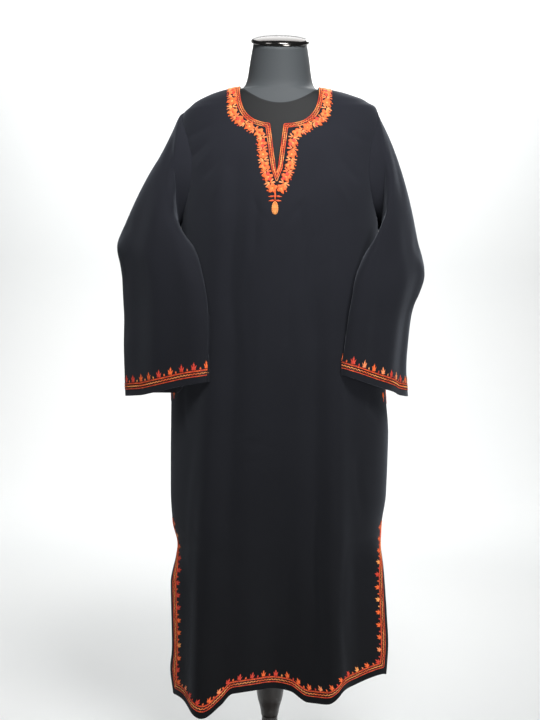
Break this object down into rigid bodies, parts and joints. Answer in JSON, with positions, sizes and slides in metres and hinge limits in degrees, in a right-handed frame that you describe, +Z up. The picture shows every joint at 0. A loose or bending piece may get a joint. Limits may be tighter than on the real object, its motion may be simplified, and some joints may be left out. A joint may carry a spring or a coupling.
{
  "type": "pheran on a dress form stand",
  "caption": "Long loose woollen pheran with embroidered neck, cuffs, side slits and hem, worn by a limbless dress form on a turned post and round base.",
  "frame": {"origin": "centre of the round base's flat underside, on the floor", "axes": "+Z up the post, the front of the garment faces -Y, +X to the right as seen from the front"},
  "size_m": [0.6156, 0.38, 1.514],
  "materials": {
    "black_cloth": "soft matt black woollen cloth with a slight nap",
    "embroidery": "silky stranded thread, shaded from dark red to orange and gold",
    "form_cover": "smooth dark cover with a low satin shine",
    "bright_cap": "polished metal",
    "black_stand": "turned and painted satin black"
  },
  "bodies": {
    "root": {"front_panel": "black_cloth", "back_panel": "black_cloth", "left_sleeve": "black_cloth", "right_sleeve": "black_cloth", "dress_form": "form_cover", "neck_cap": "bright_cap", "stand_post": "black_stand", "stand_base": "black_stand"}
  },
  "joints": []
}
